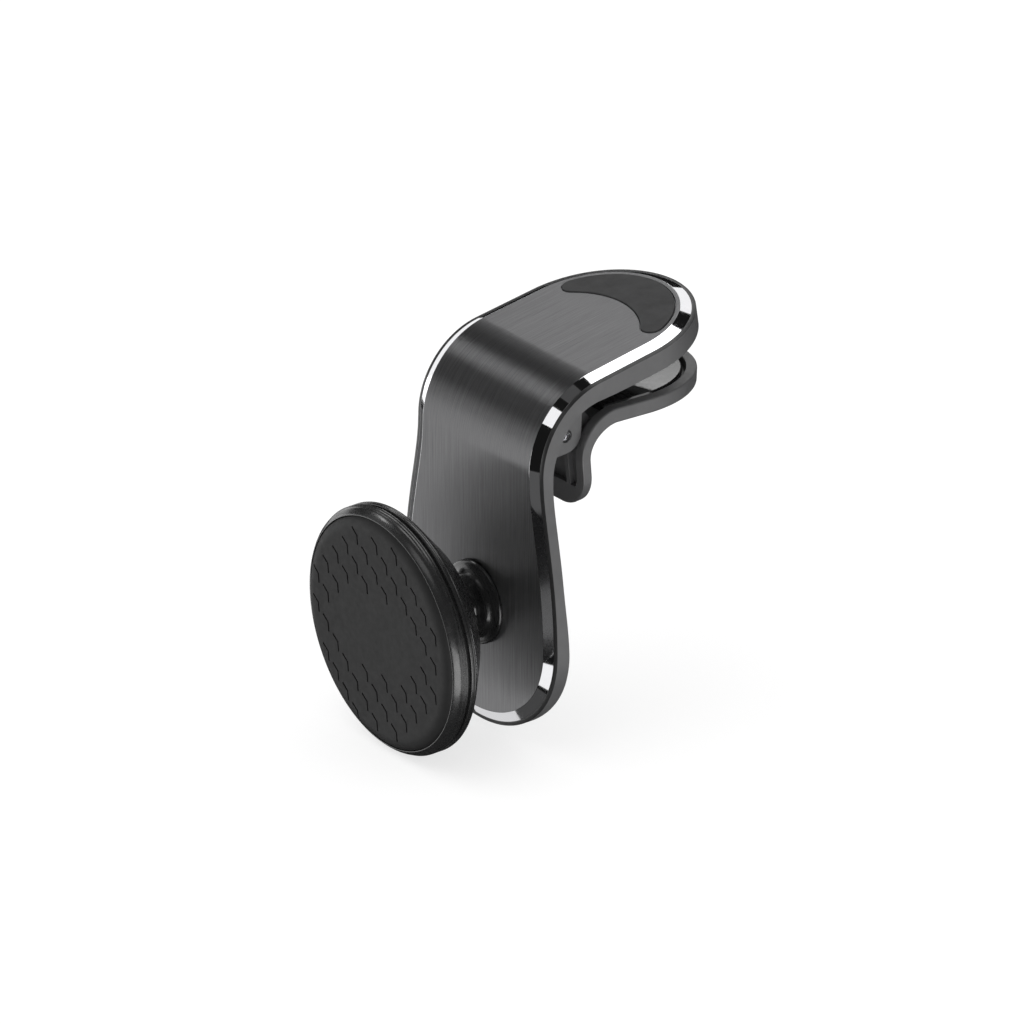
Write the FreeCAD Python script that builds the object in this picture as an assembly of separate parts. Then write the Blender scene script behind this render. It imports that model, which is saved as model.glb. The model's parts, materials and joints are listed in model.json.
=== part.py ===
"""Car phone mount: a magnetic head on a ball joint, held on a vent blade by a sprung clip.

Millimetres. +X runs across the strip, +Y to the back (into the vent), +Z up. The parts are drawn from the
foot of the strip's brushed face and moved at the end, so that the middle of the clip's jaw is the origin.
"""
import FreeCAD, Part
import math
import os
from FreeCAD import Vector

os.makedirs("parts", exist_ok=True)

# The strip: a flat foot, a bend to the back and a flat top.
FOOT_RUN = 47.1            # height of the flat foot
BEND_R = 15.3              # radius of the front face in the bend
BEND_DEG = 81.3
TOP_RUN = 27.0             # length of the flat top
FOOT_HALF = 17.9           # half width of the brushed face at the foot
FOOT_END = 16.0            # height of the half ellipse that ends the foot
NECK_HALF = 14.1
FOOT_HANDLE = 14.5         # how far the foot's side keeps straight before it draws in
NECK_HANDLE = 7.5
TOP_HALF = 13.9
TOP_END = 15.2
BEVEL_OUT = 1.8            # width of the polished bevel
BEVEL_DEEP = 0.8
PLATE_T = 1.05
FILM_T = 0.15
LIP_OUT = 2.56             # outer wall, measured outside the brushed face
LIP_FRONT = 0.78
LIP_DEEP = 1.02
SEAT_GAP = 0.05

# Thickness of plate and frame together, along the strip.
FOOT_T = 3.6
WAIST_T = 3.0
BEND_T = 3.6
TOP_T = 4.5
TAIL_RUN = 10.5            # the foot's back thins out over this height
TAIL_T = 1.1

# Ball joint and head. Heights above the plate are called h and run to the front.
HEAD_Z = 19.2
BALL_R = 5.5
BALL_H = 8.5
BALL_GAP = 0.05
LINER_R = 6.7
NECK_R = 3.0
HEAD_R = 21.65
PAD_R = 20.3
PAD_FRONT = 20.3
REST_TILT = 2.2            # how far the head is turned on its ball at rest, in degrees
REST_TURN = -2.9
PLATE_HOLE_R = 2.0
SCREW_R = 1.5

# Clip
PIN_Y = 8.8
PIN_Z = 51.4
PIN_R = 0.8
PIN_GAP = 0.05
EAR_IN = 11.1
EAR_OUT = 13.0
EAR_R = 3.3
LEVER_HALF = 14.3
JAW_TIP_Y = 43.75
JAW_TIP_Z = 53.1
JAW_SLOPE = math.tan(math.radians(2.5))
JAW_END = 18.4             # length of the half ellipse at the jaw's tip
JAW_T = 2.7
LEVER_WALL = 1.9
LEVER_FLOOR = 1.2
TAB_Y = 11.5               # front of the thumb tab at TAB_Z
TAB_Z = 43.0
TAB_LEAN = math.tan(math.radians(5))
TAB_T = 1.9
TAB_FLOOR = 1.0
TAB_FOOT_Z = 36.8
TAB_LEDGE_Z = 41.0
TAB_CORNER = 6.7
HOLLOW_R = 5.0             # inside radius of the lever's bend

JAW_MIDDLE = Vector(0, 30, 56.8)

X_AXIS = Vector(1, 0, 0)
SPLINE_STEPS = 20


def save(name, shape):
    """Write one piece, moved so that the middle of the jaw is the origin."""
    moved = shape.copy()
    moved.translate(JAW_MIDDLE * -1)
    moved.exportStep("parts/" + name + ".step")


def blend(value, first, last):
    """0 before first, 1 after last and a smooth rise between them."""
    u = min(max((value - first) / (last - first), 0), 1)
    return 0.5 - 0.5 * math.cos(math.pi * u)


# ---- shapes that follow the bent strip

def outside(x, run, across, along, out):
    """A point moved out of the outline by a distance, along the unit normal."""
    size = math.hypot(across, along)
    return x + out * across / size, run + out * along / size


def end_points(half, length, out, steps=SPLINE_STEPS):
    """Half of an elliptical end, from its widest place to its tip, which is at run -length."""
    points = []
    for i in range(steps + 1):
        a = 0.5 * math.pi * i / steps
        x, run = half * math.cos(a), -length * math.sin(a)
        points.append(outside(x, run, math.cos(a) / half, -math.sin(a) / length, out))
    return points


def foot_side(out):
    """The right side of the foot, from the bend down to where its rounded end starts."""
    x = (NECK_HALF, NECK_HALF, FOOT_HALF, FOOT_HALF)
    run = (FOOT_RUN, FOOT_RUN - NECK_HANDLE, FOOT_END + FOOT_HANDLE, FOOT_END)
    points = []
    for i in range(SPLINE_STEPS):
        t = i / SPLINE_STEPS
        u = 1 - t
        weights = (u ** 3, 3 * u * u * t, 3 * u * t * t, t ** 3)
        slopes = (-3 * u * u, 3 * u * u - 6 * u * t, 6 * u * t - 3 * t * t, 3 * t * t)
        dx = sum(s * v for s, v in zip(slopes, x))
        dr = sum(s * v for s, v in zip(slopes, run))
        here = [sum(w * v for w, v in zip(weights, axis)) for axis in (x, run)]
        points.append(outside(here[0], here[1], -dr, dx, out))
    return points


def closed_wire(right, depth):
    """Mirror the right side of an outline and close it across its open end."""
    left = [(-x, run) for x, run in reversed(right[:-1])]
    points = [Vector(x, depth, run) for x, run in right + left]
    curve = Part.BSplineCurve()
    curve.interpolate(points)
    return Part.Wire([curve.toShape(), Part.makeLine(points[-1], points[0])])


def foot_wire(out, depth):
    end = [(x, run + FOOT_END) for x, run in end_points(FOOT_HALF, FOOT_END, out)]
    return closed_wire(foot_side(out) + end, depth)


def top_wire(out, depth):
    """The outline of the flat top, with its run counted from the bend."""
    start = TOP_RUN - TOP_END
    side = [(NECK_HALF + out, 0), (NECK_HALF + (TOP_HALF - NECK_HALF) * 0.5 + out, start * 0.5)]
    end = [(x, start - run) for x, run in end_points(TOP_HALF, TOP_END, out)]
    return closed_wire(side + end, depth)


def on_top(shape):
    """Move a shape drawn flat (run up, depth to the back) on to the top of the strip."""
    moved = shape.copy()
    moved.rotate(Vector(), X_AXIS, -BEND_DEG)
    turn = math.radians(BEND_DEG)
    moved.translate(Vector(0, BEND_R * (1 - math.cos(turn)), FOOT_RUN + BEND_R * math.sin(turn)))
    return moved


def strip_solid(rings):
    """A solid that follows the whole strip. A ring is (distance outside the brushed face, depth)."""
    foot = Part.makeLoft([foot_wire(out, depth) for out, depth in rings], True, True)
    top = on_top(Part.makeLoft([top_wire(out, depth) for out, depth in rings], True, True))
    right = [Vector(NECK_HALF + out, depth, FOOT_RUN) for out, depth in rings]
    left = [Vector(-p.x, p.y, p.z) for p in reversed(right)]
    section = Part.Face(Part.makePolygon(right + left + right[:1]))
    bend = section.revolve(Vector(0, BEND_R, FOOT_RUN), X_AXIS, -BEND_DEG)
    return foot.fuse([bend, top]).removeSplitter()


def on_strip(run, depth):
    """The place (0, y, z) at a run up the strip and a depth behind its face."""
    turn = min(max((run - FOOT_RUN) / BEND_R, 0), math.radians(BEND_DEG))
    inward = Vector(0, math.cos(turn), -math.sin(turn))
    along = Vector(0, math.sin(turn), math.cos(turn))
    face = Vector(0, BEND_R * (1 - math.cos(turn)), min(run, FOOT_RUN) + BEND_R * math.sin(turn))
    past = max(run - FOOT_RUN - BEND_R * math.radians(BEND_DEG), 0)
    return face + along * past + inward * depth


def back_depth(run):
    """How far the frame's back is behind the brushed face."""
    if run < TAIL_RUN:
        u = (TAIL_RUN - run) / (TAIL_RUN + LIP_OUT)
        return TAIL_T + (FOOT_T - TAIL_T) * math.sqrt(max(1 - u * u, 0))
    depth = FOOT_T + (WAIST_T - FOOT_T) * blend(run, 14, 28)
    depth += (BEND_T - WAIST_T) * blend(run, 42, 56)
    return depth + (TOP_T - BEND_T) * blend(run, 56, 76)


def side_slab():
    """Everything in front of the frame's back, across the whole width."""
    last = FOOT_RUN + BEND_R * math.radians(BEND_DEG) + TOP_RUN + 2 * LIP_OUT
    tail = [-LIP_OUT + (TAIL_RUN + LIP_OUT) * (1 - math.cos(0.5 * math.pi * i / 8)) for i in range(8)]
    runs = tail + [TAIL_RUN + (last - TAIL_RUN) * i / 30 for i in range(31)]
    back = [on_strip(run, back_depth(run)) for run in runs]
    curve = Part.BSplineCurve()
    curve.interpolate(back)
    high = on_strip(last, -30)
    low = -LIP_OUT - 1
    front = [back[-1], high, Vector(0, -30, high.z), Vector(0, -30, low), Vector(0, TAIL_T, low), back[0]]
    face = Part.Face(Part.Wire([curve.toShape()] + Part.makePolygon(front).Edges))
    face.translate(Vector(-30, 0, 0))
    return face.extrude(Vector(60, 0, 0))


# ---- turned parts and plates

def outline(start, *steps):
    """A closed wire in (x, y) from lines (to a point) and arcs (a middle point, an end point)."""
    edges = []
    here = Vector(*start)
    for step in steps:
        if isinstance(step[0], tuple):
            middle, end = Vector(*step[0]), Vector(*step[1])
            edges.append(Part.Arc(here, middle, end).toShape())
        else:
            end = Vector(*step)
            edges.append(Part.makeLine(here, end))
        here = end
    if here.distanceToPoint(Vector(*start)) > 1e-6:
        edges.append(Part.makeLine(here, Vector(*start)))
    return Part.Wire(edges)


def turned(start, *steps):
    """Turn an outline of (radius, h) about the axis of the ball joint."""
    solid = Part.Face(outline(start, *steps)).revolve(Vector(), Vector(0, 1, 0), 360)
    solid.rotate(Vector(), X_AXIS, 180)
    solid.translate(Vector(0, 0, HEAD_Z))
    return solid


def ball_point(radius, h):
    """The point (r, h) of a sphere about the ball's centre."""
    return math.sqrt(radius ** 2 - (h - BALL_H) ** 2), h


def rod(radius, start, end):
    return Part.makeCylinder(radius, start.distanceToPoint(end), start, end - start)


def across(points, x0, x1):
    """Extrude an outline of (y, z) points from one x to another."""
    corners = [Vector(x0, y, z) for y, z in points]
    return Part.Face(Part.makePolygon(corners + corners[:1])).extrude(Vector(x1 - x0, 0, 0))


def both_sides(shape):
    """A shape and its mirror image across the middle of the mount."""
    return [shape, shape.mirror(Vector(), X_AXIS)]


# ---- the mount's body

def stud_hole(radius):
    return rod(radius, Vector(0, -2, HEAD_Z), Vector(0, 8, HEAD_Z))


def face_plate():
    plate = strip_solid([(0, 0), (BEVEL_OUT, BEVEL_DEEP), (BEVEL_OUT, PLATE_T)])
    return plate.cut([stud_hole(PLATE_HOLE_R), on_top(crescent(0, CRESCENT_SEAT))])


def plate_adhesive():
    inset = -0.4
    film = strip_solid([(inset, PLATE_T), (inset, PLATE_T + FILM_T)])
    return film.cut(stud_hole(PLATE_HOLE_R))


CRESCENT_SEAT = 0.35       # depth of the inlay's seat
CRESCENT_PROUD = 0.2
CRESCENT_MARGIN = 0.9      # from the edge of the brushed face
CRESCENT_INNER_R = 14.0
CRESCENT_INNER_RUN = 4.45  # centre of the inner arc
CRESCENT_TIP_R = 1.2


def crescent(front, back):
    """A moon shape beside the rounded tip, between two depths, drawn flat."""
    disc = Part.Face(top_wire(-CRESCENT_MARGIN, front)).extrude(Vector(0, back - front, 0))
    bite = Part.makeCylinder(CRESCENT_INNER_R, 4, Vector(0, -2, CRESCENT_INNER_RUN), Vector(0, 1, 0))
    low = Part.makeBox(60, 4, 30, Vector(-30, -2, -15))
    moon = disc.cut([bite, low])
    corners = [e for e in moon.Edges if abs(e.tangentAt(e.FirstParameter).y) > 0.99]
    return moon.makeFillet(CRESCENT_TIP_R, [e for e in corners if abs(e.Vertexes[0].Point.x) > 5])


def jaw_pad_blank():
    """The rubber pad under the top of the strip, drawn flat."""
    disc = Part.Face(top_wire(-2.6, TOP_T - 0.6)).extrude(Vector(0, 1.3, 0))
    return disc.common(Part.makeBox(60, 10, 18, Vector(-30, 0, 7)))


def ears():
    """The two ears that hold the hinge pin."""
    lobe = rod(EAR_R, Vector(EAR_IN, PIN_Y, PIN_Z), Vector(EAR_OUT, PIN_Y, PIN_Z))
    rear = PIN_Y + EAR_R
    web = across([(2.6, PIN_Z - EAR_R), (PIN_Y, PIN_Z - EAR_R), (PIN_Y, PIN_Z), (rear, PIN_Z),
                  (rear, 62), (2.6, 62)], EAR_IN, EAR_OUT)
    inside_bend = Part.makeCylinder(BEND_R - 2, 60, Vector(-30, BEND_R, FOOT_RUN), X_AXIS)
    ear = lobe.fuse(web).common(inside_bend).removeSplitter()
    return both_sides(ear)


def rear_frame():
    shell = strip_solid([(LIP_OUT - 0.4, LIP_FRONT), (LIP_OUT, LIP_DEEP), (LIP_OUT, TOP_T + 0.2)])
    seat_out = BEVEL_OUT + SEAT_GAP
    seat = strip_solid([(seat_out, 0.2), (seat_out, PLATE_T + FILM_T)])
    frame = shell.common(side_slab()).cut(seat)
    floor = PLATE_T + FILM_T + 1.1
    core = Part.Face(foot_wire(-0.6, floor)).extrude(Vector(0, 5, 0))
    core = core.common(Part.makeBox(60, 10, 36, Vector(-30, 0, 7)))
    ribs = [Part.makeBox(60, 10, 1.2, Vector(-30, 0, z)) for z in (11.5, 26.5, 34.5)]
    spine = Part.makeBox(1.2, 10, 60, Vector(-0.6, 0, 0))
    boss = rod(5.0, Vector(0, 0, HEAD_Z), Vector(0, 10, HEAD_Z))
    kept = spine.fuse(ribs + [boss])
    frame = frame.cut(core.cut(kept)).fuse(ears()).removeSplitter()
    pin_hole = rod(PIN_R + 0.01, Vector(-20, PIN_Y, PIN_Z), Vector(20, PIN_Y, PIN_Z))
    mouth = rod(1.15, Vector(EAR_OUT - 0.5, PIN_Y, PIN_Z), Vector(20, PIN_Y, PIN_Z))
    head_seat = rod(3.3, Vector(0, FOOT_T - 1.0, HEAD_Z), Vector(0, 8, HEAD_Z))
    cuts = [pin_hole, stud_hole(SCREW_R + 0.1), head_seat, on_top(jaw_pad_blank())] + both_sides(mouth)
    return frame.cut(cuts)


def ball_stud():
    waist = ball_point(BALL_R, BALL_H - math.sqrt(BALL_R ** 2 - NECK_R ** 2))
    return turned((SCREW_R + 0.02, 0), (7.1, 0), ((7.25, 0.1), (7.3, 0.3)), ((7.15, 0.6), (6.8, 0.75)),
                  ((5.9, 1.05), (5.3, 1.7)), ((5.1, 1.95), (4.8, 2.0)), ((3.6, 2.35), (NECK_R, 3.3)),
                  (waist[0], waist[1]), (ball_point(BALL_R, BALL_H), (0, BALL_H + BALL_R)),
                  (0, 6.0), (SCREW_R + 0.02, 6.0))


def stud_screw():
    back = -(FOOT_T - 1.0 + 0.3)
    return turned((0, 5.4), (SCREW_R, 5.4), (SCREW_R, back), (2.8, back), (2.8, back - 0.7),
                  ((2.5, back - 1.2), (1.6, back - 1.3)), (1.1, back - 1.3), (1.1, back - 0.7), (0, back - 0.7))


def lock_washer():
    seat = -(FOOT_T - 1.0)
    ring = turned((SCREW_R + 0.05, seat), (2.9, seat), (2.9, seat - 0.3), (SCREW_R + 0.05, seat - 0.3))
    return ring.cut(Part.makeBox(0.3, 10, 5, Vector(-0.15, 0, HEAD_Z)))


def hinge_pin():
    reach = EAR_OUT - 0.35
    pin = rod(PIN_R, Vector(-reach, PIN_Y, PIN_Z), Vector(reach, PIN_Y, PIN_Z))
    return pin.makeFillet(0.25, [e for e in pin.Edges if isinstance(e.Curve, Part.Circle)])


def torsion_spring():
    """The spring's outer shape: its coil and two legs, to the frame and down the thumb tab."""
    wire_r, coil_r, half = 0.4, 1.7, 3.6
    coil = rod(coil_r + wire_r, Vector(-half, PIN_Y, PIN_Z), Vector(half, PIN_Y, PIN_Z))
    coil = coil.cut(rod(coil_r - wire_r, Vector(-9, PIN_Y, PIN_Z), Vector(9, PIN_Y, PIN_Z)))
    x = half - wire_r
    frame_leg = rod(wire_r, Vector(-x, PIN_Y, PIN_Z + coil_r), Vector(-x, 5.9, PIN_Z + coil_r))
    tab_leg = rod(wire_r, Vector(x, PIN_Y + coil_r, PIN_Z), Vector(x, 11.55, 44.2))
    return coil.fuse([frame_leg, tab_leg]).removeSplitter()


# ---- the clip

def jaw_top(y, below=0):
    """A point on the jaw's rim line, or below it."""
    return y, JAW_TIP_Z + (JAW_TIP_Y - y) * JAW_SLOPE - below


def tab_front(z, behind=0):
    """A point on the front of the thumb tab, or behind it."""
    return TAB_Y + (TAB_Z - z) * TAB_LEAN + behind, z


def corner(below, behind):
    """Where a line along the jaw meets a line along the tab."""
    z = jaw_top(TAB_Y, below)[1]
    for _ in range(6):
        z = jaw_top(tab_front(z, behind)[0], below)[1]
    return tab_front(z, behind)


def rounded(solid, place, radius):
    """Round the edge along X that runs through a (y, z) place."""
    edges = [e for e in solid.Edges if abs(e.tangentAt(e.FirstParameter).x) > 0.99
             and math.hypot(e.Vertexes[0].Y - place[0], e.Vertexes[0].Z - place[1]) < 0.05]
    return solid.makeFillet(radius, edges)


def lever_outline(inset, foot_z):
    """The lever's outline from above and from the front, as a solid to keep."""
    half = LEVER_HALF - inset
    tip = [(x, JAW_TIP_Y - JAW_END - run) for x, run in end_points(LEVER_HALF, JAW_END, -inset)]
    points = [Vector(x, y, 0) for x, y in tip + [(-x, y) for x, y in reversed(tip[:-1])]]
    curve = Part.BSplineCurve()
    curve.interpolate(points)
    sides = [points[-1], Vector(-half, 5, 0), Vector(half, 5, 0), points[0]]
    plan = Part.Face(Part.Wire([curve.toShape()] + Part.makePolygon(sides).Edges))
    plan = plan.extrude(Vector(0, 0, 90))
    front = Part.makeBox(2 * half, 60, 40, Vector(-half, 0, foot_z))
    radius = TAB_CORNER - inset
    low = [e for e in front.Edges if abs(e.tangentAt(0).y) > 0.99 and e.Vertexes[0].Z < foot_z + 1]
    return plan.common(front.makeFillet(radius, low))


def knuckle():
    """One lug of the lever that turns on the pin."""
    x0, x1 = 7.6, EAR_IN - 0.3
    lug = rod(2.9, Vector(x0, PIN_Y, PIN_Z), Vector(x1, PIN_Y, PIN_Z))
    web = across([(PIN_Y, PIN_Z + 2.9), (13.5, PIN_Z + 2.9), (15.5, 52.3), (13.0, 49.5), (12.3, 47.9),
                  (PIN_Y, PIN_Z - 2.9)], x0, x1)
    rib = across([(10.9, 48.5), tab_front(TAB_LEDGE_Z, 0.1), tab_front(TAB_LEDGE_Z, 1.3), (13.0, 49.5)], 9.4, 10.4)
    return lug.fuse([web, rib])


def clip_lever():
    outer, inner = corner(0, 0), corner(JAW_T, TAB_T)
    far = 60
    body = across([outer, tab_front(30), tab_front(30, TAB_T), inner, jaw_top(far, JAW_T), jaw_top(far)], -30, 30)
    body = rounded(rounded(body, outer, HOLLOW_R + 2.5), inner, HOLLOW_R)
    body = body.common(lever_outline(0, TAB_FOOT_Z))
    floor = corner(JAW_T - LEVER_FLOOR, TAB_T - TAB_FLOOR)
    tray = across([floor, tab_front(TAB_LEDGE_Z, TAB_T - TAB_FLOOR), (0, TAB_LEDGE_Z), (0, far + 10),
                   (far, far + 10), jaw_top(far, JAW_T - LEVER_FLOOR)], -30, 30)
    tray = rounded(tray, floor, HOLLOW_R + LEVER_FLOOR).common(lever_outline(LEVER_WALL, TAB_FOOT_Z))
    room = rod(EAR_R + 0.35, Vector(EAR_IN - 0.3, PIN_Y, PIN_Z), Vector(EAR_OUT + 0.3, PIN_Y, PIN_Z))
    bore = rod(PIN_R + PIN_GAP, Vector(-20, PIN_Y, PIN_Z), Vector(20, PIN_Y, PIN_Z))
    lever = body.cut([tray] + both_sides(room)).fuse(both_sides(knuckle())).cut(bore)
    return lever.removeSplitter()


def lower_jaw_pad():
    """The glossy insert that lies in the lever's tray."""
    inset = LEVER_WALL + 0.6
    top, bottom = 0.2, JAW_T - LEVER_FLOOR
    slab = across([jaw_top(17.6, top), jaw_top(60, top), jaw_top(60, bottom), jaw_top(17.6, bottom)], -30, 30)
    return slab.common(lever_outline(inset, TAB_FOOT_Z))


# ---- the socket

LINER_BACK = 6.6           # h of the open side, past the ball's middle
LINER_FRONT = 13.0
CUP_R = 7.3
NUT_R = 8.0
NUT_BACK = 6.9
SOCKET_R = LINER_R + BALL_GAP
NUT_FRONT = 11.7
FLANGE_R = 9.4
FLANGE_BACK = 12.8
FLANGE_FRONT = 14.0


def socket_liner():
    inner = BALL_R + BALL_GAP
    shell = turned(ball_point(inner, LINER_BACK), ((inner, BALL_H), ball_point(inner, LINER_FRONT)),
                   ball_point(LINER_R, LINER_FRONT), ((LINER_R, BALL_H), ball_point(LINER_R, LINER_BACK)))
    slots = []
    for angle in (0, 90):
        slot = Part.makeBox(20, 4.4, 0.8, Vector(-10, -(LINER_BACK + 4.0), HEAD_Z - 0.4))
        slot.rotate(Vector(0, 0, HEAD_Z), Vector(0, 1, 0), angle + 45)
        slots.append(slot)
    return shell.cut(slots)


def socket_cup():
    mouth = ball_point(SOCKET_R, BALL_H + 0.1)
    nose = ball_point(SOCKET_R, LINER_FRONT + 0.4)
    middle = ball_point(SOCKET_R, 12)
    return turned(mouth, (CUP_R, BALL_H + 0.1), (CUP_R, FLANGE_BACK), (FLANGE_R, FLANGE_BACK),
                  (FLANGE_R, FLANGE_FRONT), (nose[0], FLANGE_FRONT), nose, (middle, mouth))


def collar_nut():
    lip = ball_point(SOCKET_R, NUT_BACK)
    middle = ball_point(SOCKET_R, 7.6)
    end = ball_point(SOCKET_R, BALL_H)
    nut = turned(lip, (middle, end), (CUP_R + 0.05, BALL_H), (CUP_R + 0.05, NUT_FRONT), (NUT_R, NUT_FRONT),
                 (NUT_R, NUT_BACK + 0.4), ((NUT_R - 0.1, NUT_BACK + 0.1), (NUT_R - 0.4, NUT_BACK)))
    grips = []
    for i in range(16):
        grip = rod(0.35, Vector(NUT_R + 0.15, -8.8, HEAD_Z), Vector(NUT_R + 0.15, -6, HEAD_Z))
        grip.rotate(Vector(0, 0, HEAD_Z), Vector(0, 1, 0), 22.5 * i)
        grips.append(grip)
    return nut.cut(grips)


# ---- the head

MAGNET_R = 4.5
MAGNET_CIRCLE = 14.0
MAGNETS = 6
SCREW_CIRCLE = 17.0
FLOOR_H = 14.8             # where the steel shield lies in the cover
PLATE_FRONT = 15.65        # front of the steel shield
MAGNET_FRONT = 17.65
CARRIER_FRONT = 18.1
COVER_FRONT = 16.6
BAND_FRONT = 17.15
SCREW_SEAT = 17.0
HUB_BACK = 9.4


def round_head(solid, circle, first, count):
    """Copies of a solid, drawn on the head's axis, spread round a circle."""
    copies = []
    for i in range(count):
        a = math.radians(first + 360 * i / count)
        copy = solid.copy()
        copy.translate(Vector(circle * math.cos(a), 0, circle * math.sin(a)))
        copies.append(copy)
    return copies


def head_rod(radius, h0, h1):
    return rod(radius, Vector(0, -h0, HEAD_Z), Vector(0, -h1, HEAD_Z))


def on_ball(shape):
    """Turn a finished piece of the head about the ball, to where it is at rest."""
    ball = Vector(0, -BALL_H, HEAD_Z)
    shape.rotate(ball, Vector(0, 0, 1), REST_TURN)
    shape.rotate(ball, X_AXIS, REST_TILT)
    return shape


def rear_cover():
    """The cone at the head's back, hollow behind the shield, with three bosses for the screws."""
    hole = NUT_R + 0.15
    bed = FLANGE_R + 0.15
    cover = turned((hole, HUB_BACK), (13.6, HUB_BACK), ((14.2, 9.5), (14.8, 9.95)), (21.0, 14.95),
                   ((21.45, 15.3), (HEAD_R, 15.8)), (HEAD_R, 15.95), (HEAD_R - 0.12, 16.05), (HEAD_R, 16.15),
                   (HEAD_R, 16.35), ((HEAD_R - 0.07, 16.53), (HEAD_R - 0.3, COVER_FRONT)), (PAD_R, COVER_FRONT),
                   (PAD_R, FLOOR_H), (bed, FLOOR_H), (bed, FLANGE_BACK - 0.05), (hole, FLANGE_BACK - 0.05))
    hollow = turned((11.2, FLOOR_H), (11.2, 11.0), (14.2, 11.0), (18.8, FLOOR_H))
    bosses = round_head(head_rod(1.9, HUB_BACK, FLOOR_H), SCREW_CIRCLE, 30, 3)
    pilots = round_head(head_rod(0.82, 13.4, COVER_FRONT), SCREW_CIRCLE, 30, 3)
    return cover.cut(hollow.cut(bosses)).cut(pilots)


def trim_band():
    band_r = HEAD_R - 0.65
    return turned((PAD_R, COVER_FRONT), (band_r, COVER_FRONT), (band_r, BAND_FRONT), (PAD_R, BAND_FRONT))


def front_ring():
    """Two fine ridges and a cone up to the pad's edge."""
    groove = HEAD_R - 0.17
    return turned((PAD_R, BAND_FRONT), (HEAD_R - 0.4, BAND_FRONT), (HEAD_R, 17.3), (HEAD_R, 17.46),
                  (groove, 17.65), (HEAD_R, 17.84), (HEAD_R, 18.0), (HEAD_R - 0.2, 18.15), (HEAD_R - 0.18, 18.3),
                  ((HEAD_R - 0.5, 18.95), (PAD_R + 0.25, 19.62)), ((PAD_R + 0.1, 19.66), (PAD_R + 0.03, 19.56)),
                  (PAD_R + 0.03, CARRIER_FRONT), (PAD_R, CARRIER_FRONT))


def front_pad():
    return turned((0, CARRIER_FRONT), (PAD_R, CARRIER_FRONT), (PAD_R, 19.45),
                  ((PAD_R - 0.6, 19.98), (PAD_R - 1.9, PAD_FRONT)), (0, PAD_FRONT))


def shield_plate():
    plate = head_rod(PAD_R - 0.1, FLOOR_H + 0.05, PLATE_FRONT)
    return plate.cut(round_head(head_rod(1.0, FLOOR_H, PLATE_FRONT + 1), SCREW_CIRCLE, 30, 3))


def magnets():
    disc = head_rod(MAGNET_R, PLATE_FRONT, MAGNET_FRONT)
    return Part.makeCompound(round_head(disc, MAGNET_CIRCLE, 0, MAGNETS))


def magnet_carrier():
    carrier = head_rod(PAD_R - 0.05, PLATE_FRONT, CARRIER_FRONT)
    back = PLATE_FRONT - 1
    pockets = round_head(head_rod(MAGNET_R + 0.05, back, MAGNET_FRONT + 0.02), MAGNET_CIRCLE, 0, MAGNETS)
    holes = round_head(head_rod(0.9, back, CARRIER_FRONT + 1), SCREW_CIRCLE, 30, 3)
    sinks = round_head(head_rod(1.7, SCREW_SEAT, CARRIER_FRONT + 1), SCREW_CIRCLE, 30, 3)
    core = [head_rod(7.0, back, SCREW_SEAT)]
    return carrier.cut(pockets + holes + sinks + core)


def carrier_screws():
    top = SCREW_SEAT + 1.0
    screw = head_rod(0.8, 13.7, SCREW_SEAT + 0.1).fuse(head_rod(1.5, SCREW_SEAT, top))
    slot = Part.makeBox(2.0, 0.5, 0.4, Vector(-1.0, -top - 0.1, HEAD_Z - 0.2))
    return Part.makeCompound(round_head(screw.cut(slot), SCREW_CIRCLE, 30, 3))


def wave_washer():
    return turned((6.2, 14.05), (9.2, 14.05), (9.2, 14.7), (6.2, 14.7))


save("face_plate", face_plate())
save("plate_adhesive", plate_adhesive())
save("rear_frame", rear_frame())
save("crescent_pad", on_top(crescent(-CRESCENT_PROUD, CRESCENT_SEAT)))
save("upper_jaw_pad", on_top(jaw_pad_blank()))
save("ball_stud", ball_stud())
save("stud_screw", stud_screw())
save("lock_washer", lock_washer())
save("hinge_pin", hinge_pin())
save("torsion_spring", torsion_spring())
save("clip_lever", clip_lever())
save("lower_jaw_pad", lower_jaw_pad())
save("socket_liner", on_ball(socket_liner()))
save("socket_cup", on_ball(socket_cup()))
save("collar_nut", on_ball(collar_nut()))
save("rear_cover", on_ball(rear_cover()))
save("trim_band", on_ball(trim_band()))
save("front_ring", on_ball(front_ring()))
save("front_pad", on_ball(front_pad()))
save("shield_plate", on_ball(shield_plate()))
save("magnets", on_ball(magnets()))
save("magnet_carrier", on_ball(magnet_carrier()))
save("carrier_screws", on_ball(carrier_screws()))
save("wave_washer", on_ball(wave_washer()))
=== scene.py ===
"""The looks of the car phone mount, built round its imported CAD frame.

Shapes are drawn in millimetres from the foot of the strip's brushed face, as the CAD part is: +X across,
+Y to the back, +Z up. make() moves a finished shape into the row frame, in metres.
"""
import json
import math

import bmesh
import bpy
from mathutils import Matrix, Vector


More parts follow.
